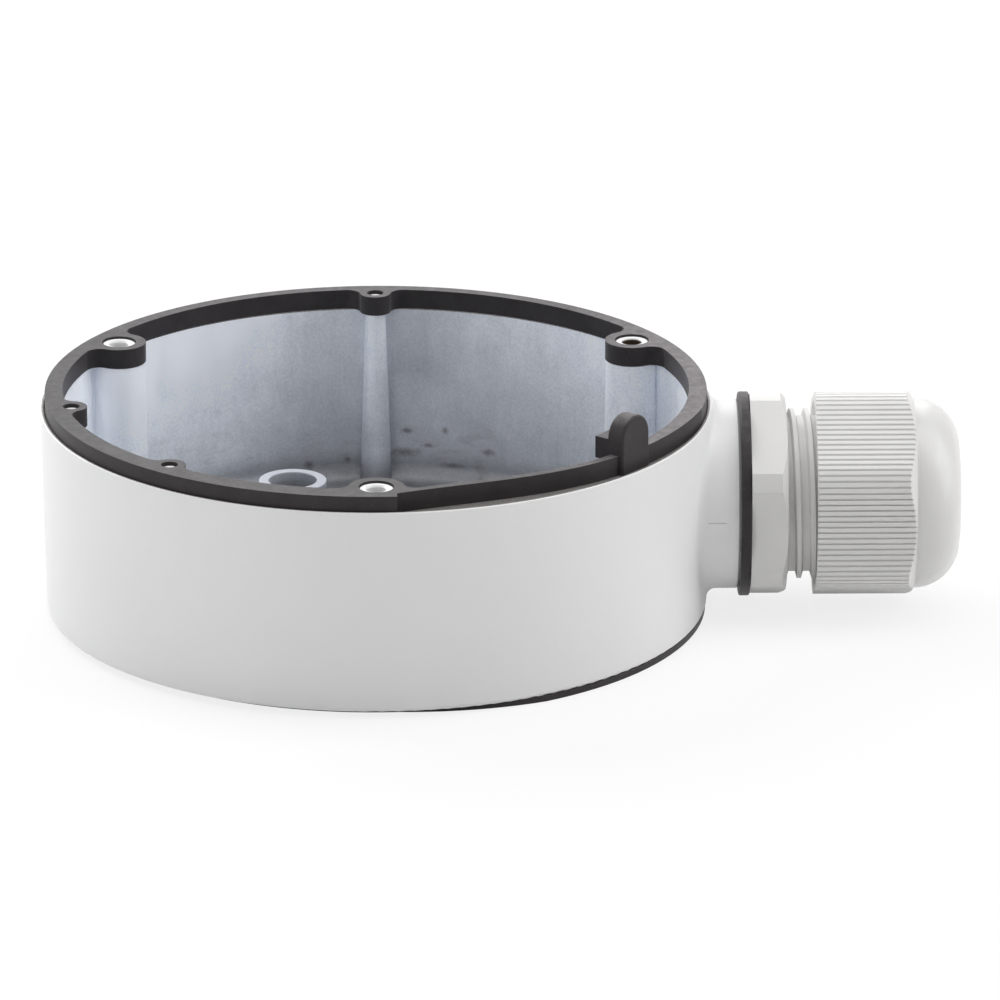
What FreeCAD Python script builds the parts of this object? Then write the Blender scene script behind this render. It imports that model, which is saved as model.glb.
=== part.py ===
import FreeCAD, Part
import math
import os

# Round camera junction box: a cast housing with a rim gasket on top, a thin gasket
# underneath, and a side boss that carries a cable gland.
# The origin is on the housing's axis, in the plane of its underside.
# +Z points to the camera side, +X along the cable gland. All sizes are in mm.

# Housing casting
housing_height = 35.4
body_radius = 57.3
wall = 3.1
floor_thick = 3.0
draft_deg = 1.0
base_edge_radius = 0.8
floor_fillet = 3.0
lip_width = 0.7
lip_height = 0.8
lip_edge_radius = 0.25

# Side boss for the cable gland, which fills the housing's height but for these margins
boss_floor_margin = 2.4
boss_rim_margin = 0.6
boss_length = 4.7
boss_root_fillet = 1.6
boss_edge_chamfer = 0.4

# Camera screw posts, inset from the housing's rim
post_inset = 6.0
post_angles = (30, 150, 270)
post_radius = 4.5
post_flare = 0.5
collar_radius = 2.85
collar_drop = 0.35
collar_edge_radius = 0.2
post_hole_radius = 1.65
post_hole_depth = 14.0
post_hole_chamfer = 0.3

# Locating pegs, each on a rib of the wall
peg_inset = 4.8
peg_angles = (90, 190, 229)
peg_radius = 1.35
peg_drop = 0.6
peg_edge_radius = 0.3
rib_radius = 1.75
rib_flare = 1.1

# Wall screw bosses on the floor
wall_screw_inset = 17.3
wall_screw_angle = 111.5
wall_screw_count = 3
wall_boss_height = 8.5
wall_boss_radius = 5.9
wall_boss_flare = 0.4
wall_head_radius = 4.25
wall_head_depth = 4.0
wall_screw_radius = 2.4

# Thick stretch of wall that backs the narrow run of the rim gasket
pad_inset = 6.7
pad_start_deg = -87.0
pad_end_deg = -24.0

# Rim gasket; its narrow run goes through points at an angle and inset from the rim
gasket_thick = 3.4
gasket_fit = 0.1
gasket_width = 3.8
gasket_inner_shift = 0.9
post_lobe_margin = 1.8
peg_lobe_margin = 1.35
lobe_fillet = 2.4
run_width = 1.4
run_insets = ((-86.5, 2.4), (-76.0, 4.5), (-62.0, 4.4), (-47.0, 3.1), (-30.0, 2.1), (-12.0, 0.8))

# Lug on the rim gasket that plugs the camera's side notch
lug_angle = -38.0
lug_inset = 2.1
lug_thick = 3.3
lug_width = 7.6
lug_rise = 6.3
lug_edge_radius = 0.5
step_thick = 2.4
step_width = 6.4
step_rise = 2.6
step_drop = 1.2

# Gasket under the housing
rear_thick = 1.0
rear_width = 7.8
rear_inset = 2.9
rear_wide_inset = 0.2
rear_wide_deg = 60.0
rear_blend_deg = 26.0

# Cable gland: hexagon, flat washer and the stub in the housing's port
flange_flats = 33.0
flange_length = 6.2
flange_corner_margin = 1.7
flange_chamfer_length = 1.0
flange_chamfer_deg = 30.0
flange_edge_radius = 0.3
hex_turn_deg = 35.5
washer_margin = 1.0
washer_thick = 1.8
washer_fit = 0.15
washer_edge_radius = 0.3
port_margin = 4.0
stub_length = 8.5
stub_fit = 0.1

# Cable gland: threaded neck
neck_step = 3.15
neck_length = 14.5
neck_wall = 1.35
thread_height = 1.2
thread_pitch = 2.5
thread_crest_flat = 0.7
thread_foot = 1.4
thread_sink = 0.3
neck_lead = 1.5
mouth_depth = 13.0
seat_width = 2.6

# Cable gland: clamping claw and rubber seal
slide_gap = 0.3
claw_seat_gap = 5.0
claw_tip_gap = 2.8
claw_wall = 1.4
claw_collar_length = 9.5
claw_tip_drop = 1.4
claw_slots = 10
claw_slot_width = 1.0
seal_fit = 0.05
seal_wall = 1.85
seal_start_inset = 1.0
seal_end_inset = 1.5
seal_edge_radius = 0.6

# Cable gland: dome nut
nut_gap = 5.0
nut_wall = 1.95
nut_corner_round = 6.0
ribs_per_side = 18
rib_depth = 0.38
rib_crest_share = 0.6
nut_rib_length = 15.0
nut_shoulder_length = 2.0
nut_edge_chamfer = 0.8
dome_inset = 0.5
dome_corner_radius = 7.8
nut_bore_inset = 2.0
nut_tip_thick = 2.0
nut_hole_margin = 0.7

# Places and radii of the housing, worked out from the sizes above
draft = math.tan(math.radians(draft_deg))
base_radius = body_radius - housing_height * draft
rim_height = housing_height - lip_height
lip_inner_radius = body_radius - lip_width
inner_radius = body_radius - wall
inner_foot_radius = inner_radius - (rim_height - floor_thick) * draft
mid_wall_radius = inner_radius + wall / 2
boss_radius = (housing_height - boss_floor_margin - boss_rim_margin) / 2
boss_reach = body_radius + boss_length
gland_height = boss_floor_margin + boss_radius
port_radius = flange_flats / 2 - port_margin
post_circle = body_radius - post_inset
peg_circle = body_radius - peg_inset
wall_screw_circle = body_radius - wall_screw_inset

# Places and radii of the rim gasket
gasket_top = rim_height + gasket_thick
gasket_outer_radius = lip_inner_radius - gasket_fit
gasket_inner_radius = body_radius - gasket_width
collar_top = gasket_top - collar_drop
peg_top = gasket_top - peg_drop
lug_face_radius = body_radius - lug_inset

# Places along the gland's axis
washer_end = boss_reach + washer_thick
flange_end = washer_end + flange_length
neck_end = flange_end + neck_length
stub_start = boss_reach - stub_length
seat_end = neck_end - mouth_depth
nut_start = flange_end + nut_gap
nut_rib_end = nut_start + nut_rib_length
dome_start = nut_rib_end + nut_shoulder_length
nut_tip = dome_start + dome_corner_radius
nut_cone_end = nut_tip - nut_tip_thick
claw_start = seat_end + claw_seat_gap
claw_end = nut_cone_end - claw_tip_gap

# Radii about the gland's axis
thread_root_radius = flange_flats / 2 - neck_step
thread_crest_radius = thread_root_radius + thread_height
mouth_radius = thread_root_radius - neck_wall
passage_radius = mouth_radius - seat_width
claw_outer_radius = mouth_radius - slide_gap
claw_inner_radius = claw_outer_radius - claw_wall
seal_outer_radius = claw_inner_radius - seal_fit
seal_bore_radius = seal_outer_radius - seal_wall
nut_bore_radius = thread_crest_radius + slide_gap
nut_half_flats = nut_bore_radius + nut_wall
nut_corner_reach = nut_half_flats / math.cos(math.radians(30))
dome_radius = nut_half_flats - dome_inset
nut_hole_radius = seal_bore_radius + nut_hole_margin

# How far a cutting or joining shape runs past a face, and how near two places count as one
overlap = 1.0
tiny = 0.01

UP = FreeCAD.Vector(0, 0, 1)
ALONG = FreeCAD.Vector(1, 0, 0)
ORIGIN = FreeCAD.Vector(0, 0, 0)


def polar(radius, angle_deg, height=0.0):
    """A point at a radius and angle round the housing's axis."""
    angle = math.radians(angle_deg)
    return FreeCAD.Vector(radius * math.cos(angle), radius * math.sin(angle), height)


def upright(radius, bottom, top, centre=ORIGIN):
    """An upright cylinder between two heights."""
    base = FreeCAD.Vector(centre.x, centre.y, bottom)
    return Part.makeCylinder(radius, top - bottom, base, UP)


def tapered(foot_radius, top_radius, bottom, top, centre=ORIGIN):
    """An upright column whose radius changes evenly with height."""
    base = FreeCAD.Vector(centre.x, centre.y, bottom)
    return Part.makeCone(foot_radius, top_radius, top - bottom, base, UP)


def gland_turned(profile):
    """A solid of revolution about the gland's axis, from (x, radius) points."""
    points = [FreeCAD.Vector(x, 0, gland_height + radius) for x, radius in profile]
    face = Part.Face(Part.makePolygon(points + [points[0]]))
    return face.revolve(FreeCAD.Vector(0, 0, gland_height), ALONG, 360)


def gland_bar(radius, start, end):
    """A round bar on the gland's axis."""
    base = FreeCAD.Vector(start, 0, gland_height)
    return Part.makeCylinder(radius, end - start, base, ALONG)


def prism(wire, bottom, top):
    """A flat outline drawn at height zero, raised between two heights."""
    face = Part.Face(wire)
    face.translate(UP * bottom)
    return face.extrude(UP * (top - bottom))


def sector(inner, outer, start_deg, end_deg, bottom, top):
    """A stretch of a ring between two angles."""
    middle = (start_deg + end_deg) / 2
    outside = Part.Arc(polar(outer, start_deg), polar(outer, middle), polar(outer, end_deg))
    inside = Part.Arc(polar(inner, end_deg), polar(inner, middle), polar(inner, start_deg))
    sides = [Part.makeLine(polar(outer, end_deg), polar(inner, end_deg)),
             Part.makeLine(polar(inner, start_deg), polar(outer, start_deg))]
    wire = Part.Wire([outside.toShape(), sides[0], inside.toShape(), sides[1]])
    return prism(wire, bottom, top)


def level_edges(solid, height):
    """The solid's edges that lie level at a height."""
    return [edge for edge in solid.Edges
            if edge.BoundBox.ZMin > height - tiny and edge.BoundBox.ZMax < height + tiny]


def upright_corners(solid, wanted):
    """The solid's straight upright edges whose place passes a test."""
    found = []
    for edge in solid.Edges:
        if not isinstance(edge.Curve, Part.Line):
            continue
        ends = [vertex.Point for vertex in edge.Vertexes]
        flat = math.hypot(ends[0].x - ends[1].x, ends[0].y - ends[1].y)
        joined = [face for face in solid.Faces if any(edge.isSame(side) for side in face.Edges)]
        if flat < tiny and len(joined) == 2 and wanted(ends[0]):
            found.append(edge)
    return found


def web(angle_deg, half_width, start_radius, bottom, top):
    """A plate that ties a rib to the middle of the wall behind it."""
    corner = FreeCAD.Vector(start_radius, -half_width, bottom)
    plate = Part.makeBox(mid_wall_radius - start_radius, half_width * 2, top - bottom, corner)
    plate.rotate(ORIGIN, UP, angle_deg)
    return plate


def wall_screw_places():
    """The centres of the wall screw bosses, evenly spaced on their circle."""
    step = 360 / wall_screw_count
    return [polar(wall_screw_circle, wall_screw_angle + number * step) for number in range(wall_screw_count)]


def make_housing():
    """The casting: cup, side boss, screw posts, peg ribs and floor bosses."""
    tall = housing_height + boss_root_fillet * 2
    cup = tapered(base_radius, base_radius + tall * draft, 0, tall)
    base = [edge for edge in cup.Edges if edge.BoundBox.ZMax < overlap / 2]
    cup = cup.makeFillet(base_edge_radius, base)
    cup = cup.fuse(gland_bar(boss_radius, 0, boss_reach)).removeSplitter()
    behind_root = inner_foot_radius - boss_radius
    before_end = boss_reach - overlap
    root = [edge for edge in cup.Edges
            if edge.BoundBox.XMin > behind_root and edge.BoundBox.XMax < before_end
            and edge.BoundBox.ZLength > boss_radius]
    cup = cup.makeFillet(boss_root_fillet, root)
    cup = cup.cut(upright(body_radius * 2, housing_height, tall + overlap))
    end = [edge for edge in cup.Edges
           if edge.BoundBox.XMin > boss_reach - tiny and edge.BoundBox.YLength > boss_radius]
    cup = cup.makeChamfer(boss_edge_chamfer, end)

    cavity = tapered(inner_foot_radius, inner_radius, floor_thick, rim_height)
    foot = [edge for edge in cavity.Edges if edge.BoundBox.ZMax < floor_thick + tiny]
    cavity = cavity.makeFillet(floor_fillet, foot)
    recess = upright(lip_inner_radius, rim_height, housing_height + overlap)
    cup = cup.cut(cavity).cut(recess)
    cup = cup.makeFillet(lip_edge_radius, level_edges(cup, housing_height))

    foot = floor_thick / 2
    pad_radius = body_radius - pad_inset
    solids = [sector(pad_radius, mid_wall_radius, pad_start_deg, pad_end_deg, floor_thick, rim_height)]
    for angle in post_angles:
        centre = polar(post_circle, angle)
        solids.append(tapered(post_radius + post_flare, post_radius, foot, rim_height, centre))
        collar = upright(collar_radius, rim_height - overlap, collar_top, centre)
        solids.append(collar.makeFillet(collar_edge_radius, level_edges(collar, collar_top)))
    for angle in peg_angles:
        centre = polar(peg_circle, angle)
        solids.append(tapered(rib_radius + rib_flare, rib_radius, foot, rim_height, centre))
        solids.append(web(angle, rib_radius, peg_circle, foot, rim_height))
        peg = upright(peg_radius, rim_height - overlap, peg_top, centre)
        solids.append(peg.makeFillet(peg_edge_radius, level_edges(peg, peg_top)))
    for centre in wall_screw_places():
        solids.append(tapered(wall_boss_radius + wall_boss_flare, wall_boss_radius,
                              foot, wall_boss_height, centre))
    cup = cup.multiFuse(solids).removeSplitter()

    holes = [gland_bar(port_radius, inner_radius - post_radius, boss_reach + overlap)]
    for angle in post_angles:
        centre = polar(post_circle, angle)
        holes.append(upright(post_hole_radius, collar_top - post_hole_depth, collar_top + overlap, centre))
        holes.append(tapered(post_hole_radius, post_hole_radius + post_hole_chamfer,
                             collar_top - post_hole_chamfer, collar_top, centre))
    head_seat = wall_boss_height - wall_head_depth
    for centre in wall_screw_places():
        holes.append(upright(wall_screw_radius, -overlap, wall_boss_height, centre))
        holes.append(upright(wall_head_radius, head_seat, wall_boss_height + overlap, centre))
    for hole in holes:
        cup = cup.cut(hole)
    return cup


def run_edge(inset):
    """The narrow run's outline, moved inwards by an inset, as a smooth curve."""
    curve = Part.BSplineCurve()
    curve.interpolate([polar(body_radius - depth - inset, angle) for angle, depth in run_insets])
    return curve.toShape()


def between(inner_edge, outer_radius):
    """The area outside a run's edge, out to a radius."""
    start_deg = run_insets[0][0]
    end_deg = run_insets[-1][0]
    far_start = polar(outer_radius, start_deg)
    far_middle = polar(outer_radius, (start_deg + end_deg) / 2)
    far_end = polar(outer_radius, end_deg)
    first = inner_edge.valueAt(inner_edge.FirstParameter)
    last = inner_edge.valueAt(inner_edge.LastParameter)
    arc = Part.Arc(far_end, far_middle, far_start).toShape()
    return Part.Wire([inner_edge, Part.makeLine(last, far_end), arc, Part.makeLine(far_start, first)])


def make_lug():
    """The arch-shaped lug and the lower step behind it, before they are turned to their angle."""
    half = lug_width / 2
    spring = gasket_top + lug_rise - half
    face = lug_face_radius
    low = FreeCAD.Vector(face, -half, rim_height)
    left = FreeCAD.Vector(face, -half, spring)
    crown = FreeCAD.Vector(face, 0, spring + half)
    right = FreeCAD.Vector(face, half, spring)
    foot = FreeCAD.Vector(face, half, rim_height)
    arch = Part.Wire([Part.makeLine(low, left), Part.Arc(left, crown, right).toShape(),
                      Part.makeLine(right, foot), Part.makeLine(foot, low)])
    arch = Part.Face(arch).extrude(ALONG * -lug_thick)
    bows = [edge for edge in arch.Edges if isinstance(edge.Curve, Part.Circle)]
    arch = arch.makeFillet(lug_edge_radius, bows)
    corner = FreeCAD.Vector(face - lug_thick - step_thick, -half, gasket_top - step_drop)
    step = Part.makeBox(step_thick + overlap, step_width, step_drop + step_rise, corner)
    lug = arch.fuse(step).removeSplitter()
    lug.rotate(ORIGIN, UP, lug_angle)
    return lug


def make_rim_gasket():
    """The rubber ring on the rim, with lobes round the posts and pegs, and the lug."""
    ring = upright(gasket_outer_radius, rim_height, gasket_top)
    middle = FreeCAD.Vector(0, gasket_inner_shift, 0)
    ring = ring.cut(upright(gasket_inner_radius, rim_height - overlap, gasket_top + overlap, middle))
    posts = [polar(post_circle, angle) for angle in post_angles]
    pegs = [polar(peg_circle, angle) for angle in peg_angles]
    lobes = [upright(collar_radius + post_lobe_margin, rim_height, gasket_top, centre) for centre in posts]
    lobes += [upright(peg_radius + peg_lobe_margin, rim_height, gasket_top, centre) for centre in pegs]
    ring = ring.multiFuse(lobes).removeSplitter()
    inside = gasket_outer_radius - overlap
    notches = upright_corners(ring, lambda point: math.hypot(point.x, point.y) < inside)
    ring = ring.makeFillet(lobe_fillet, notches)

    below = rim_height - overlap
    above = gasket_top + overlap
    ring = ring.cut(prism(between(run_edge(0), body_radius), below, above))
    outside = prism(between(run_edge(0), body_radius), rim_height, gasket_top)
    run = prism(between(run_edge(run_width), body_radius), rim_height, gasket_top).cut(outside)
    ring = ring.fuse(run).fuse(make_lug()).removeSplitter()
    for centre in posts:
        ring = ring.cut(upright(collar_radius + gasket_fit, below, above, centre))
    for centre in pegs:
        ring = ring.cut(upright(peg_radius + gasket_fit, below, above, centre))
    return ring


def make_rear_gasket():
    """The thin ring under the housing, wider on the gland's side."""
    narrow = base_radius - rear_inset
    wide = base_radius - rear_wide_inset
    far = rear_wide_deg + rear_blend_deg
    half_way = rear_wide_deg + rear_blend_deg / 2
    blend = (narrow + wide) / 2
    edges = [Part.Arc(polar(wide, -rear_wide_deg), polar(wide, 0), polar(wide, rear_wide_deg)).toShape(),
             Part.Arc(polar(wide, rear_wide_deg), polar(blend, half_way), polar(narrow, far)).toShape(),
             Part.Arc(polar(narrow, far), polar(narrow, 180), polar(narrow, -far)).toShape(),
             Part.Arc(polar(narrow, -far), polar(blend, -half_way), polar(wide, -rear_wide_deg)).toShape()]
    ring = prism(Part.Wire(edges), -rear_thick, 0)
    return ring.cut(upright(narrow - rear_width, -rear_thick - overlap, overlap))


def make_washer():
    """The flat rubber washer between the boss and the hexagon."""
    hole = gland_bar(port_radius - stub_fit + washer_fit, boss_reach - overlap, washer_end + overlap)
    disc = gland_bar(flange_flats / 2 + washer_margin, boss_reach, washer_end)
    edges = [edge for edge in disc.Edges if isinstance(edge.Curve, Part.Circle)]
    return disc.makeFillet(washer_edge_radius, edges).cut(hole)


def hexagon(flats, start, end):
    """A hexagonal bar on the gland's axis."""
    corner = flats / 2 / math.cos(math.radians(30))
    points = []
    for side in range(7):
        angle = math.radians(hex_turn_deg + side * 60)
        height = gland_height + corner * math.sin(angle)
        points.append(FreeCAD.Vector(start, corner * math.cos(angle), height))
    return Part.Face(Part.makePolygon(points)).extrude(ALONG * (end - start))


def make_threaded_neck():
    """A round bar with a right-handed thread that runs in from beyond both ends, and a sloped lead."""
    run_in = thread_pitch
    length = neck_length + run_in * 2
    slope = (thread_foot - thread_crest_flat) / 2 / thread_height
    sunk_radius = thread_root_radius - thread_sink
    half_foot = thread_foot / 2 + thread_sink * slope
    half_crest = thread_crest_flat / 2
    profile = Part.makePolygon([FreeCAD.Vector(sunk_radius, 0, -half_foot),
                                FreeCAD.Vector(thread_crest_radius, 0, -half_crest),
                                FreeCAD.Vector(thread_crest_radius, 0, half_crest),
                                FreeCAD.Vector(sunk_radius, 0, half_foot),
                                FreeCAD.Vector(sunk_radius, 0, -half_foot)])
    path = Part.Wire(Part.makeHelix(thread_pitch, length, thread_root_radius))
    ridge = path.makePipeShell([profile], True, True)
    bar = Part.makeCylinder(thread_root_radius, length + run_in * 2, UP * -run_in, UP)
    kept_length = neck_length + overlap
    kept = Part.makeCylinder(thread_crest_radius + overlap, kept_length, UP * (run_in - overlap), UP)
    neck = bar.fuse(ridge).common(kept)
    neck.rotate(ORIGIN, FreeCAD.Vector(0, 1, 0), 90)
    neck.translate(FreeCAD.Vector(flange_end - run_in, 0, gland_height))
    beyond = thread_crest_radius + overlap
    lead = gland_turned([(neck_end - neck_lead - overlap, beyond), (neck_end + overlap, beyond),
                         (neck_end + overlap, thread_crest_radius - neck_lead - overlap)])
    return neck.cut(lead)


def make_gland_body():
    """Threaded stub, hexagon and threaded neck, bored through for the cable."""
    flange = hexagon(flange_flats, washer_end, flange_end)
    corners = [edge for edge in flange.Edges if edge.BoundBox.XLength > flange_length / 2]
    flange = flange.makeFillet(flange_edge_radius, corners)
    corner = flange_flats / 2 + flange_corner_margin
    drop = flange_chamfer_length * math.tan(math.radians(90 - flange_chamfer_deg))
    cap = gland_turned([(washer_end, 0), (washer_end, corner), (flange_end - flange_chamfer_length, corner),
                        (flange_end, corner - drop), (flange_end, 0)])
    flange = flange.common(cap)
    stub = gland_bar(port_radius - stub_fit, stub_start, washer_end + overlap)
    body = flange.fuse(stub).fuse(make_threaded_neck()).removeSplitter()
    body = body.cut(gland_bar(passage_radius, stub_start - overlap, neck_end))
    return body.cut(gland_bar(mouth_radius, seat_end, neck_end + overlap))


def make_gland_claw():
    """The slotted ring whose fingers close on the seal when the nut is tightened."""
    outer = claw_outer_radius
    inner = claw_inner_radius
    collar_end = claw_start + claw_collar_length
    claw = gland_turned([(claw_start, inner), (claw_start, outer), (collar_end, outer),
                         (claw_end, outer - claw_tip_drop), (claw_end, inner - claw_tip_drop / 2),
                         (claw_end - claw_tip_drop, inner)])
    corner = FreeCAD.Vector(collar_end - overlap, -claw_slot_width / 2, gland_height)
    for number in range(claw_slots):
        slot = Part.makeBox(claw_end - collar_end + overlap * 2, claw_slot_width, outer + overlap, corner)
        slot.rotate(FreeCAD.Vector(0, 0, gland_height), ALONG, number * 360 / claw_slots)
        claw = claw.cut(slot)
    return claw


def make_gland_seal():
    """The rubber sleeve that grips the cable inside the claw."""
    start = claw_start + seal_start_inset
    end = claw_end - seal_end_inset
    seal = gland_bar(seal_outer_radius, start, end)
    ends = [edge for edge in seal.Edges if isinstance(edge.Curve, Part.Circle)]
    seal = seal.makeFillet(seal_edge_radius, ends)
    return seal.cut(gland_bar(seal_bore_radius, start - overlap, end + overlap))


def rounded_hexagon_point(share, inset):
    """A point part of the way round a hexagon with rounded corners, as (y, z) from the axis."""
    apothem = nut_half_flats - inset
    corner = nut_corner_round - inset
    # A hexagon's side is as long as its corners are far from its middle
    flat = (apothem - corner) / math.cos(math.radians(30))
    bend = corner * math.radians(60)
    side, along = divmod(share * 6, 1)
    along = along * (flat + bend)
    turn = math.radians(hex_turn_deg + side * 60)
    if along < bend:
        angle = turn - math.radians(30) + along / corner
        y = flat * math.cos(turn) + corner * math.cos(angle)
        z = flat * math.sin(turn) + corner * math.sin(angle)
        return y, z
    facing = turn + math.radians(30)
    step = along - bend - flat / 2
    y = apothem * math.cos(facing) - step * math.sin(facing)
    z = apothem * math.sin(facing) + step * math.cos(facing)
    return y, z


def ribbed_bar(start, end):
    """The nut's gripping outline, crest and groove in turn, as a bar."""
    count = ribs_per_side * 6
    valley = (1 + rib_crest_share) / 2
    points = []
    for number in range(count):
        for place, inset in ((0, 0), (rib_crest_share, 0), (valley, rib_depth)):
            y, z = rounded_hexagon_point((number + place) / count, inset)
            points.append(FreeCAD.Vector(start, y, gland_height + z))
    return Part.Face(Part.makePolygon(points + [points[0]])).extrude(ALONG * (end - start))


def dome_face():
    """The half section that the nut's outside is cut to: straight, sloped, then rounded to the tip."""
    turn_radius = dome_radius - dome_corner_radius
    lift = dome_corner_radius / math.sqrt(2)

    def at(x, r):
        return FreeCAD.Vector(x, 0, gland_height + r)

    straight = [at(nut_tip, turn_radius), at(nut_tip, 0), at(nut_start, 0),
                at(nut_start, nut_corner_reach - nut_edge_chamfer),
                at(nut_start + nut_edge_chamfer, nut_corner_reach),
                at(nut_rib_end, nut_corner_reach), at(dome_start, dome_radius)]
    half_turn = at(dome_start + lift, turn_radius + lift)
    turn = Part.Arc(straight[-1], half_turn, straight[0]).toShape()
    return Part.Face(Part.Wire(Part.makePolygon(straight).Edges + [turn]))


def make_gland_nut():
    """The ribbed nut with a domed end and a hole for the cable."""
    envelope = dome_face().revolve(FreeCAD.Vector(0, 0, gland_height), ALONG, 360)
    nut = ribbed_bar(nut_start, nut_tip).common(envelope)
    before = nut_start - overlap
    beyond = nut_tip + overlap
    inside = gland_turned([(before, 0), (before, nut_bore_radius + 2 * overlap),
                           (nut_start + overlap, nut_bore_radius),
                           (nut_rib_end - nut_bore_inset, nut_bore_radius),
                           (nut_cone_end, nut_hole_radius), (beyond, nut_hole_radius), (beyond, 0)])
    return nut.cut(inside)


os.makedirs("parts", exist_ok=True)
pieces = {
    "housing": make_housing(),
    "rim_gasket": make_rim_gasket(),
    "rear_gasket": make_rear_gasket(),
    "gland_washer": make_washer(),
    "gland_body": make_gland_body(),
    "gland_claw": make_gland_claw(),
    "gland_seal": make_gland_seal(),
    "gland_nut": make_gland_nut(),
}
for name, shape in pieces.items():
    print(name, len(shape.Solids), "solid", round(shape.Volume, 1), "mm3", shape.isValid())
    shape.exportStep("parts/" + name + ".step")
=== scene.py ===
import math

import bpy
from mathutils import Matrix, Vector


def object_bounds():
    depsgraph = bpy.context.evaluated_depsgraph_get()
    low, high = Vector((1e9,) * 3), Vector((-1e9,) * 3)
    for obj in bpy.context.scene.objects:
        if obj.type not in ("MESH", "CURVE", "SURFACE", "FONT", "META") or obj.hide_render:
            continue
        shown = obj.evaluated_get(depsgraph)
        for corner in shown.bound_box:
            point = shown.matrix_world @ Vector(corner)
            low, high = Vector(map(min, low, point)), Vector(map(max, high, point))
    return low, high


# Looks for a round camera junction box with a side cable gland.
# The frame is the part's own: metres, +Z to the camera side, +X along the gland.

MM = 0.001

# Photograph's viewpoint: the camera looks at this point from this far away
LOOK_AT = Vector((21.2, 0.0, 17.6)) * MM
CAMERA_DISTANCE = 1.6
CAMERA_ELEVATION_DEG = 19.27
CAMERA_AZIMUTH_DEG = 0.82
CAMERA_CLIP_END = 20.0
SENSOR_WIDTH_MM = 36.0
FOCAL_LENGTH_MM = 335.95

# Places on the casting that its finish depends on, in millimetres
CUP_RADIUS = 55.3
RIM_SEAT = 34.6
LIP_TOP = 35.4
LIP_PAINT_RADIUS = 57.1
GLAND_HEIGHT = 18.6
BOSS_START = 53.5
BOSS_END = 62.0
PORT_START = 49.5
PORT_PAINT_RADIUS = 15.5
PARTING_LINE_HEIGHT = 18.85
WALL_BOSS_TOP = 8.5
WALL_BOSS_CIRCLE = 40.0
WALL_BOSS_ANGLES_DEG = (111.5, 231.5, 351.5)
WALL_BOSS_FACED_RADIUS = 6.55
FACE_MARGIN = 0.2

# Dark marks on the casting's inner wall: angle, height, width and height of each mark
INNER_WALL_RADIUS = 53.6
WALL_MARKS = (
    (84.6, 8.0, 3.4, 1.1),
    (84.0, 12.0, 1.6, 0.7),
    (80.0, 9.4, 1.6, 0.6),
    (76.8, 12.3, 0.7, 0.9),
    (75.4, 5.9, 3.0, 0.7),
    (68.3, 9.0, 1.5, 0.9),
    (95.4, 6.6, 0.9, 0.8),
    (102.9, 5.9, 1.2, 1.1),
    (91.6, 9.0, 0.7, 2.4),
)
MARK_RAGGEDNESS = 2.4
MARK_STRENGTH = 0.62

# The camera screw hole that is dark inside, in the post at the right
DARK_HOLE_CIRCLE = 51.3
DARK_HOLE_ANGLE_DEG = 30.0
DARK_HOLE_RADIUS = 1.75
DARK_HOLE_BOTTOM = 23.1

# Painted light and shade on the bare casting: darker on its floor and low down, lighter up towards its rim,
# towards its two sides and on the rib.
# Each band, here and below, is where a change starts and where it is complete.
CAST_LOW_LEVEL = 0.74
CAST_RISE_PER_MM = 0.018
CAST_FLOOR_PAINTED_SHADE = 0.46
CAST_FLOOR_BAND = (3.2, 9.5)
CAST_LEFT_PAINTED_LIGHT = 0.46
CAST_LEFT_BAND = (-9.0, -28.0)
CAST_RIGHT_PAINTED_LIGHT = 0.20
CAST_RIGHT_BAND = (18.0, 40.0)
RIB_PAINTED_LIGHT = 0.24
RIB_PLACE = (0, 51.5, 0)
RIB_BAND = (3.0, 2.2)
# Dark smears low on the bare wall fade out over this band
SMEAR_BAND = (22.0, 2.0)

# Painted shade on the wall, right of the rib and high up: it darkens the wall by a share
RIB_SIDE_SHADE_SHARE = 0.22
RIB_SIDE_SHADE_LEFT_BAND = (1.5, 5.0)
RIB_SIDE_SHADE_RIGHT_BAND = (20.0, 8.0)
RIB_SIDE_SHADE_HEIGHT_BAND = (17.0, 25.0)

# Painted sheen on the rim gasket's faces that look up, made stronger at the right and the back: by how much,
# and out to where
GASKET_RADIUS = 56.5
PAINTED_SHEEN_RIGHT_GAIN = 1.5
PAINTED_SHEEN_RIGHT_BAND = (25.0, 54.0)
PAINTED_SHEEN_BACK_GAIN = 0.4
PAINTED_SHEEN_BACK_BAND = (20.0, 50.0)
PAINTED_SHEEN_FACING_BAND = (0.55, 0.98)

# The nut is a separate moulding, painted a little paler than the hexagon to lift the shade in its rib
# grooves: where it starts, and by how much
NUT_START = 75.0
NUT_PAINTED_LIGHT = 0.06
DOME_START = 92.0

# Colours
COAT_TONES = ((0.80, 0.80, 0.805), (0.83, 0.83, 0.83))
PARTING_LINE = (0.25, 0.25, 0.25, 1)
CAST_TONES = ((0.50, 0.525, 0.575), (0.58, 0.605, 0.655), (0.65, 0.67, 0.72))
CAST_FLOW_TONES = ((0.46, 0.48, 0.52), (0.70, 0.72, 0.76))
CAST_GRAIN_TONES = ((0.25, 0.26, 0.28), (0.85, 0.87, 0.90))
CAST_SMEAR = (0.20, 0.19, 0.20, 1)
CAST_MARK = (0.08, 0.07, 0.075, 1)
FACED_METAL = (0.80, 0.82, 0.87, 1)
RIM_TONES = ((0.17, 0.16, 0.155), (0.31, 0.30, 0.285))
PORT_METAL = (0.17, 0.165, 0.145, 1)
HOLE_BROWN = (0.06, 0.045, 0.03, 1)
NYLON_TONES = ((0.675, 0.67, 0.66), (0.715, 0.71, 0.70))
BLACK_RUBBER = (0.040, 0.036, 0.038)
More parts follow.
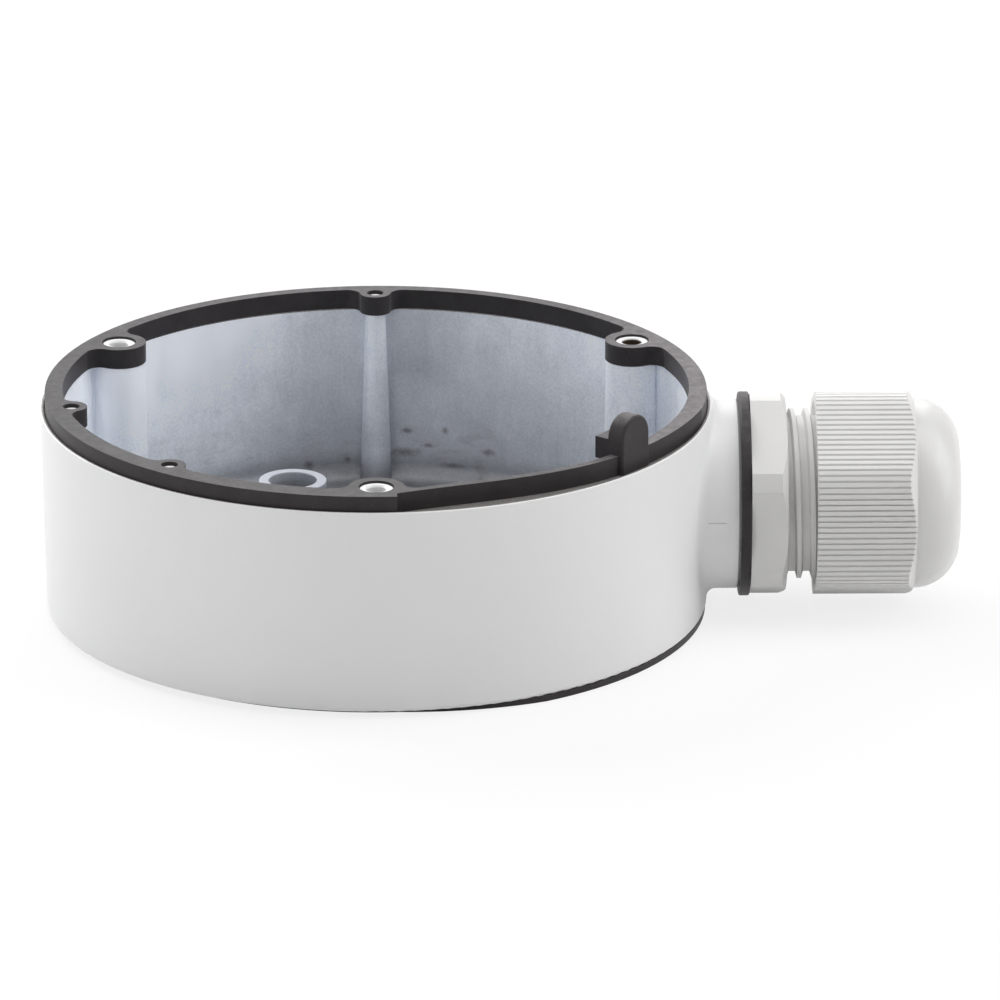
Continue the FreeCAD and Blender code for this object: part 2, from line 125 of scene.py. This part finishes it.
# Each rubber's second colour is a painted sheen for its faces that look up
BLACK_RUBBER_PAINTED_SHEEN = (0.047, 0.043, 0.045)
SEAL_RUBBER = (0.03, 0.03, 0.03)
SEAL_RUBBER_PAINTED_SHEEN = (0.05, 0.05, 0.05)
RUBBER_DUST = (0.25, 0.24, 0.23, 1)
FLOOR_COLOUR = (0.86, 0.86, 0.86, 1)

# Lamps round the part: direction and power in watts
LAMP_DISTANCE = 1.2
LAMP_SIDE = 0.8
LAMPS = {
    "left_front": ((-0.75, -0.65, 0.4), 3.2),
    "right": ((1.0, 0.0, 0.35), 4.0),
    "back_left": ((-0.7, 0.7, 0.7), 10.8),
    "back": ((0.0, 1.0, 0.6), 3.4),
    "top": ((0.0, 0.0, 1.0), 5.6),
    "right_high": ((0.7, 0.0, 0.8), 5.1),
}
WORLD_STRENGTH = 0.1
FLOOR_WHITE_SHARE = 0.8
FLOOR_HALF_SIDE = 4.0

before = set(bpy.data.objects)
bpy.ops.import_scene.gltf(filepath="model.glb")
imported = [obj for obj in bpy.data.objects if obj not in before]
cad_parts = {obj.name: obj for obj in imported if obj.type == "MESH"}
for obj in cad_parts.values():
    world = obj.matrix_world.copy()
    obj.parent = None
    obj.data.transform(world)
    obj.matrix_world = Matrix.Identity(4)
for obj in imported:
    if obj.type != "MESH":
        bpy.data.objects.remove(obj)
cad_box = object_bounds()


def fill_ramp(ramp, points):
    """Fills a colour ramp with (position, colour) points."""
    elements = ramp.color_ramp.elements
    while len(elements) > len(points):
        elements.remove(elements[-1])
    while len(elements) < len(points):
        elements.new(0.5)
    for element, (position, colour) in zip(elements, points):
        element.position = position
        element.color = (*colour, 1.0)


def round_place(circle, angle_deg, height=0.0):
    """A point on a circle round the part's axis, in millimetres."""
    angle = math.radians(angle_deg)
    return (circle * math.cos(angle), circle * math.sin(angle), height)


class Surface:
    """A material and its node tree, with short calls to add and join nodes."""

    def __init__(self, name):
        self.material = bpy.data.materials.new(name)
        self.material.use_nodes = True
        self.tree = self.material.node_tree
        self.shader = self.tree.nodes["Principled BSDF"]
        coordinates = self.tree.nodes.new("ShaderNodeTexCoord")
        self.place = self.vector("SCALE", coordinates.outputs["Object"])
        self.place.node.inputs["Scale"].default_value = 1 / MM
        self.facing = coordinates.outputs["Normal"]

    def put(self, socket, value):
        """Joins a socket to another node's output, or sets it to a plain value."""
        if isinstance(value, bpy.types.NodeSocket):
            self.tree.links.new(value, socket)
        else:
            socket.default_value = value

    def vector(self, operation, first, second=None):
        node = self.tree.nodes.new("ShaderNodeVectorMath")
        node.operation = operation
        self.put(node.inputs[0], first)
        if second is not None:
            self.put(node.inputs[1], second)
        return node.outputs["Value" if operation == "LENGTH" else "Vector"]

    def math(self, operation, first, second=0.0):
        node = self.tree.nodes.new("ShaderNodeMath")
        node.operation = operation
        self.put(node.inputs[0], first)
        self.put(node.inputs[1], second)
        return node.outputs["Value"]

    def product(self, *values):
        """The product of some numbers or masks."""
        result = values[0]
        for value in values[1:]:
            result = self.math("MULTIPLY", result, value)
        return result

    def strongest(self, masks):
        """The largest of some masks."""
        result = masks[0]
        for mask in masks[1:]:
            result = self.math("MAXIMUM", result, mask)
        return result

    def axes(self, vector):
        node = self.tree.nodes.new("ShaderNodeSeparateXYZ")
        self.put(node.inputs[0], vector)
        return node.outputs

    def apart(self, middle=(0, 0, 0), axes=(1, 1, 0)):
        """The distance from a line through a point: upright, or along the axis whose share is 0."""
        away = self.vector("SUBTRACT", self.place, middle)
        return self.vector("LENGTH", self.vector("MULTIPLY", away, axes))

    def step(self, value, low, high):
        """Rises smoothly from 0 at low to 1 at high, or falls if low is above high."""
        node = self.tree.nodes.new("ShaderNodeMapRange")
        node.interpolation_type = "SMOOTHSTEP"
        self.put(node.inputs["Value"], value)
        node.inputs["From Min"].default_value = min(low, high)
        node.inputs["From Max"].default_value = max(low, high)
        if low > high:
            node.inputs["To Min"].default_value = 1.0
            node.inputs["To Max"].default_value = 0.0
        return node.outputs["Result"]

    def above(self, value, limit, soft=0.1):
        """1 above a limit and 0 below it, with a soft edge."""
        return self.step(value, limit - soft, limit + soft)

    def below(self, value, limit, soft=0.1):
        """1 below a limit and 0 above it, with a soft edge."""
        return self.step(value, limit + soft, limit - soft)

    def noise(self, size, detail=2.0, roughness=0.5, stretch=(1, 1, 1), distortion=0.0):
        """Noise whose features are about size millimetres across, times a stretch on each axis."""
        node = self.tree.nodes.new("ShaderNodeTexNoise")
        scale = tuple(1 / (size * share) for share in stretch)
        self.put(node.inputs["Vector"], self.vector("MULTIPLY", self.place, scale))
        node.inputs["Scale"].default_value = 1.0
        node.inputs["Detail"].default_value = detail
        node.inputs["Roughness"].default_value = roughness
        node.inputs["Distortion"].default_value = distortion
        return node.outputs["Fac"]

    def ramp(self, value, *points):
        """A colour ramp through (position, colour) points."""
        node = self.tree.nodes.new("ShaderNodeValToRGB")
        self.put(node.inputs["Fac"], value)
        fill_ramp(node, points)
        return node.outputs["Color"]

    def mix(self, factor, first, second, blend="MIX"):
        """Mixes two colours."""
        node = self.tree.nodes.new("ShaderNodeMix")
        node.data_type = "RGBA"
        node.blend_type = blend
        colours = [socket for socket in node.inputs if socket.type == "RGBA"]
        self.put(node.inputs[0], factor)
        self.put(colours[0], first)
        self.put(colours[1], second)
        return [socket for socket in node.outputs if socket.type == "RGBA"][0]

    def scaled(self, colour, level):
        """A colour times a number."""
        return self.mix(1.0, colour, level, "MULTIPLY")

    def between(self, factor, first, second):
        """Mixes two numbers."""
        node = self.tree.nodes.new("ShaderNodeMix")
        self.put(node.inputs[0], factor)
        self.put(node.inputs[2], first)
        self.put(node.inputs[3], second)
        return node.outputs[0]

    def bump(self, height, depth, strength):
        """A relief of depth millimetres."""
        node = self.tree.nodes.new("ShaderNodeBump")
        node.inputs["Strength"].default_value = strength
        node.inputs["Distance"].default_value = depth * MM
        self.put(node.inputs["Height"], height)
        return node.outputs["Normal"]

    def set(self, **values):
        """Sets the shader's inputs, with underscores for spaces."""
        for name, value in values.items():
            self.put(self.shader.inputs[name.replace("_", " ")], value)


def powder_coat(s, cloud):
    """White powder coat, with a faint broken parting line along the boss."""
    x, _, z = s.axes(s.place)
    coat = s.ramp(cloud, (0.3, COAT_TONES[0]), (0.7, COAT_TONES[1]))
    broken = s.step(s.noise(1.6, detail=1.0), 0.46, 0.54)
    off_line = s.math("ABSOLUTE", s.math("SUBTRACT", z, PARTING_LINE_HEIGHT))
    line = s.product(s.below(off_line, 0.11, 0.05), s.above(x, BOSS_START + 1.2, 0.2),
                     s.below(x, BOSS_END - 1.9), broken)
    return s.mix(s.product(line, 0.45), coat, PARTING_LINE)


def cast_painted_light(s):
    """How bright the bare casting is painted: painted shade low down, on the floor and right of the rib, and
    painted light towards the rim, the sides and on the rib.
    """
    x, _, z = s.axes(s.place)
    level = s.math("ADD", s.product(z, CAST_RISE_PER_MM), CAST_LOW_LEVEL)
    floor = s.between(s.step(z, *CAST_FLOOR_BAND), CAST_FLOOR_PAINTED_SHADE, 1.0)
    # Painted shade right of the rib, high up
    rib_side_shade = s.product(s.step(x, *RIB_SIDE_SHADE_LEFT_BAND), s.step(x, *RIB_SIDE_SHADE_RIGHT_BAND), s.step(z, *RIB_SIDE_SHADE_HEIGHT_BAND))
    rib_side_shade = s.between(rib_side_shade, 1.0, 1.0 - RIB_SIDE_SHADE_SHARE)
    left = s.between(s.step(x, *CAST_LEFT_BAND), 1.0, 1.0 + CAST_LEFT_PAINTED_LIGHT)
    right = s.between(s.step(x, *CAST_RIGHT_BAND), 1.0, 1.0 + CAST_RIGHT_PAINTED_LIGHT)
    rib = s.between(s.step(s.apart(RIB_PLACE), *RIB_BAND), 1.0, 1.0 + RIB_PAINTED_LIGHT)
    return s.product(level, floor, rib_side_shade, left, right, rib)


def wall_marks(s):
    """Soft dark marks on the inner wall."""
    noise = s.noise(1.0, detail=4.0, roughness=0.7)
    ragged = s.product(s.math("SUBTRACT", noise, 0.5), MARK_RAGGEDNESS)
    marks = []
    for angle_deg, height, width, tall in WALL_MARKS:
        middle = round_place(INNER_WALL_RADIUS, angle_deg, height)
        away = s.vector("MULTIPLY", s.vector("SUBTRACT", s.place, middle), (2 / width, 1 / width, 2 / tall))
        marks.append(s.step(s.math("ADD", s.vector("LENGTH", away), ragged), 2.2, 0.1))
    return s.strongest(marks)


def faced_rings(s):
    """The faced tops of the wall screw bosses."""
    z = s.axes(s.place)[2]
    rings = [s.below(s.apart(round_place(WALL_BOSS_CIRCLE, angle_deg)), WALL_BOSS_FACED_RADIUS)
             for angle_deg in WALL_BOSS_ANGLES_DEG]
    return s.product(s.strongest(rings), s.above(z, WALL_BOSS_TOP - FACE_MARGIN),
                     s.below(z, WALL_BOSS_TOP + FACE_MARGIN))


def bare_casting(s, rim, port, mottle, grain, flow):
    """Bare die-cast metal: mottled and grainy, with upright flow marks, smears and stains, and with painted
    light and shade.
    """
    z = s.axes(s.place)[2]
    cast = s.ramp(mottle, (0.25, CAST_TONES[0]), (0.5, CAST_TONES[1]), (0.75, CAST_TONES[2]))
    cast = s.mix(0.25, cast, s.ramp(flow, (0.3, CAST_FLOW_TONES[0]), (0.7, CAST_FLOW_TONES[1])))
    cast = s.mix(0.16, cast, s.ramp(grain, (0.35, CAST_GRAIN_TONES[0]), (0.65, CAST_GRAIN_TONES[1])))
    smear = s.noise(4.5, detail=4.0, roughness=0.7, stretch=(2.2, 2.2, 0.6), distortion=1.2)
    shade = s.product(s.step(smear, 0.50, 0.72), s.step(z, *SMEAR_BAND))
    cast = s.mix(s.product(shade, 0.4), cast, CAST_SMEAR)
    # Painted light and shade: darker low down and right of the rib, lighter towards the rim, the sides and
    # on the rib
    cast = s.scaled(cast, cast_painted_light(s))
    cast = s.mix(s.product(wall_marks(s), MARK_STRENGTH), cast, CAST_MARK)
    cast = s.mix(faced_rings(s), cast, FACED_METAL)
    cast = s.mix(rim, cast, s.ramp(grain, (0.35, RIM_TONES[0]), (0.65, RIM_TONES[1])))
    return s.mix(port, cast, PORT_METAL)


def casting_finish():
    """White powder coat outside and on the post tops, and bare die-cast metal inside."""
    s = Surface("casting_finish")
    x, _, z = s.axes(s.place)
    radius = s.apart()
    gland_radius = s.apart((0, 0, GLAND_HEIGHT), (0, 1, 1))

    # Bare metal in the cup, on the rim inside the lip's outer edge, and in the gland's port
    cup = s.product(s.below(radius, CUP_RADIUS), s.above(z, FACE_MARGIN), s.below(z, RIM_SEAT + FACE_MARGIN))
    rim = s.product(s.below(radius, LIP_PAINT_RADIUS, 0.05), s.above(z, RIM_SEAT - 0.15, 0.05),
                    s.below(z, LIP_TOP + FACE_MARGIN))
    port = s.product(s.above(x, PORT_START), s.below(gland_radius, PORT_PAINT_RADIUS))
    bare = s.strongest([cup, rim, port])

    cloud = s.noise(40, detail=1.0)
    mottle = s.noise(5, detail=4.0, roughness=0.6)
    grain = s.noise(0.45, detail=3.0, roughness=0.7)
    flow = s.noise(2.5, detail=3.0, roughness=0.55, stretch=(1, 1, 6), distortion=0.6)
    colour = s.mix(bare, powder_coat(s, cloud), bare_casting(s, rim, port, mottle, grain, flow))

    # Dark brown inside one screw hole
    hole_middle = round_place(DARK_HOLE_CIRCLE, DARK_HOLE_ANGLE_DEG)
    hole = s.product(s.below(s.apart(hole_middle), DARK_HOLE_RADIUS, 0.05), s.above(z, DARK_HOLE_BOTTOM))

    # Orange peel on the coat, grain and flow marks on the bare metal
    peel = s.noise(0.9, detail=2.0, roughness=0.6)
    pores = s.noise(0.25, detail=1.0)
    coat_relief = s.math("ADD", peel, s.product(pores, 0.3))
    cast_relief = s.math("ADD", grain, s.product(flow, 0.8))
    s.set(Base_Color=s.mix(hole, colour, HOLE_BROWN),
          Metallic=s.product(bare, 0.35),
          Roughness=s.between(bare, s.between(cloud, 0.36, 0.46), s.between(mottle, 0.42, 0.58)),
          Normal=s.bump(s.between(bare, coat_relief, cast_relief), 0.05, 0.35))
    return s.material


def rubber(name, shade, painted_sheen):
    """Dull black rubber with a moulded grain, and a painted sheen: a paler colour on faces that look up."""
    s = Surface(name)
    x, y, _ = s.axes(s.place)
    grain = s.noise(0.22, detail=2.0, roughness=0.6)
    patches = s.noise(6, detail=3.0, roughness=0.6)
    streaks = s.noise(1.5, detail=3.0, roughness=0.65)
    colour = s.ramp(patches, (0.3, tuple(0.85 * c for c in shade)), (0.7, tuple(1.2 * c for c in shade)))
    # Painted sheen: a paler, streaky colour for faces that look up, stronger at the right and the back
    sheen_colour = s.ramp(streaks, (0.3, tuple(0.6 * c for c in painted_sheen)), (0.7, tuple(1.45 * c for c in painted_sheen)))
    right = s.product(s.step(x, *PAINTED_SHEEN_RIGHT_BAND), s.below(x, GASKET_RADIUS + 1.5, 0.5), PAINTED_SHEEN_RIGHT_GAIN)
    back = s.product(s.step(y, *PAINTED_SHEEN_BACK_BAND), PAINTED_SHEEN_BACK_GAIN)
    sheen_colour = s.scaled(sheen_colour, s.math("ADD", s.strongest([right, back]), 1.0))
    up = s.step(s.axes(s.facing)[2], *PAINTED_SHEEN_FACING_BAND)
    colour = s.mix(up, colour, sheen_colour)
    dust = s.step(s.noise(0.35, detail=1.0), 0.68, 0.74)
    s.set(Base_Color=s.mix(s.product(dust, 0.10), colour, RUBBER_DUST),
          Roughness=s.between(patches, 0.42, 0.58),
          Specular_IOR_Level=0.15,
          Sheen_Weight=0.12,
          Sheen_Roughness=0.4,
          Normal=s.bump(grain, 0.03, 0.4))
    return s.material


def nylon():
    """Light grey moulded nylon: satin, and glossier on the nut's dome."""
    s = Surface("grey_nylon")
    x = s.axes(s.place)[0]
    cloud = s.noise(12, detail=2.0)
    colour = s.ramp(cloud, (0.3, NYLON_TONES[0]), (0.7, NYLON_TONES[1]))
    # Painted light: the nut is made paler to lift the shade in its rib grooves
    nut = s.product(s.above(x, NUT_START - 0.35, 0.15), s.below(x, DOME_START - 0.1, 0.5))
    dome = s.above(x, DOME_START - 0.1, 0.5)
    s.set(Base_Color=s.scaled(colour, s.between(nut, 1.0, 1.0 + NUT_PAINTED_LIGHT)),
          Roughness=s.between(dome, s.between(cloud, 0.42, 0.52), 0.27),
          Normal=s.bump(s.noise(0.3, detail=2.0), 0.015, 0.3))
    return s.material


def paint(node, material):
    """Gives a node of the part its finish."""
    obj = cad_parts[node]
    obj.data.materials.clear()
    obj.data.materials.append(material)


def seen_rays(tree):
    """1 for what the camera sees directly, in a reflection or through a surface."""
    path = tree.nodes.new("ShaderNodeLightPath")
    first = tree.nodes.new("ShaderNodeMath")
    second = tree.nodes.new("ShaderNodeMath")
    first.operation = "MAXIMUM"
    second.operation = "MAXIMUM"
    tree.links.new(path.outputs["Is Camera Ray"], first.inputs[0])
    tree.links.new(path.outputs["Is Glossy Ray"], first.inputs[1])
    tree.links.new(first.outputs[0], second.inputs[0])
    tree.links.new(path.outputs["Is Transmission Ray"], second.inputs[1])
    return second.outputs[0]


def floor_material():
    """Pale and matte, and mostly plain white to what the camera sees."""
    material = bpy.data.materials.new("floor")
    material.use_nodes = True
    tree = material.node_tree
    shader = tree.nodes["Principled BSDF"]
    shader.inputs["Base Color"].default_value = FLOOR_COLOUR
    shader.inputs["Roughness"].default_value = 0.9
    shader.inputs["Specular IOR Level"].default_value = 0.0
    white = tree.nodes.new("ShaderNodeEmission")
    white.inputs["Strength"].default_value = 1.0
    share = tree.nodes.new("ShaderNodeMath")
    share.operation = "MULTIPLY"
    share.inputs[1].default_value = FLOOR_WHITE_SHARE
    mixed = tree.nodes.new("ShaderNodeMixShader")
    tree.links.new(seen_rays(tree), share.inputs[0])
    tree.links.new(share.outputs[0], mixed.inputs[0])
    tree.links.new(shader.outputs[0], mixed.inputs[1])
    tree.links.new(white.outputs[0], mixed.inputs[2])
    tree.links.new(mixed.outputs[0], tree.nodes["Material Output"].inputs["Surface"])
    return material


def make_floor(height):
    """A pale floor that shows white, and keeps a soft shadow."""
    half = FLOOR_HALF_SIDE
    mesh = bpy.data.meshes.new("floor")
    corners = [(-half, -half, height), (half, -half, height), (half, half, height), (-half, half, height)]
    mesh.from_pydata(corners, [], [(0, 1, 2, 3)])
    mesh.materials.append(floor_material())
    floor = bpy.data.objects.new("floor", mesh)
    bpy.context.scene.collection.objects.link(floor)


def make_world():
    """A white surround that lights the part evenly and dimly."""
    world = bpy.data.worlds.new("surround")
    bpy.context.scene.world = world
    world.use_nodes = True
    tree = world.node_tree
    light = tree.nodes["Background"]
    light.inputs["Color"].default_value = (1, 1, 1, 1)
    light.inputs["Strength"].default_value = WORLD_STRENGTH
    white = tree.nodes.new("ShaderNodeBackground")
    white.inputs["Strength"].default_value = 1.0
    mixed = tree.nodes.new("ShaderNodeMixShader")
    tree.links.new(seen_rays(tree), mixed.inputs[0])
    tree.links.new(light.outputs[0], mixed.inputs[1])
    tree.links.new(white.outputs[0], mixed.inputs[2])
    tree.links.new(mixed.outputs[0], tree.nodes["World Output"].inputs["Surface"])


def make_lamps():
    """Square softboxes that face the part from round about and above."""
    for name, (direction, power) in LAMPS.items():
        lamp = bpy.data.lights.new(name, "AREA")
        lamp.size = LAMP_SIDE
        lamp.energy = power
        obj = bpy.data.objects.new(name, lamp)
        away = Vector(direction).normalized()
        obj.location = LOOK_AT + away * LAMP_DISTANCE
        obj.rotation_euler = away.to_track_quat("Z", "Y").to_euler()
        bpy.context.scene.collection.objects.link(obj)


def make_camera():
    """The photograph's camera."""
    elevation = math.radians(CAMERA_ELEVATION_DEG)
    azimuth = math.radians(CAMERA_AZIMUTH_DEG)
    forward = Vector((math.sin(azimuth) * math.cos(elevation),
                      math.cos(azimuth) * math.cos(elevation), -math.sin(elevation)))
    camera = bpy.data.cameras.new("camera")
    camera.sensor_width = SENSOR_WIDTH_MM
    camera.lens = FOCAL_LENGTH_MM
    camera.clip_end = CAMERA_CLIP_END
    obj = bpy.data.objects.new("camera", camera)
    obj.location = LOOK_AT - forward * CAMERA_DISTANCE
    obj.rotation_euler = forward.to_track_quat("-Z", "Y").to_euler()
    bpy.context.scene.collection.objects.link(obj)
    bpy.context.scene.camera = obj


casting = casting_finish()
black = rubber("black_rubber", BLACK_RUBBER, BLACK_RUBBER_PAINTED_SHEEN)
seal = rubber("seal_rubber", SEAL_RUBBER, SEAL_RUBBER_PAINTED_SHEEN)
grey = nylon()
for node, material in {
    "housing": casting,
    "rim_gasket": black,
    "rear_gasket": black,
    "gland_washer": black,
    "gland_body": grey,
    "gland_claw": grey,
    "gland_seal": seal,
    "gland_nut": grey,
}.items():
    paint(node, material)

make_floor(cad_box[0].z)
make_world()
make_lamps()
make_camera()
bpy.context.scene.view_settings.view_transform = "Standard"
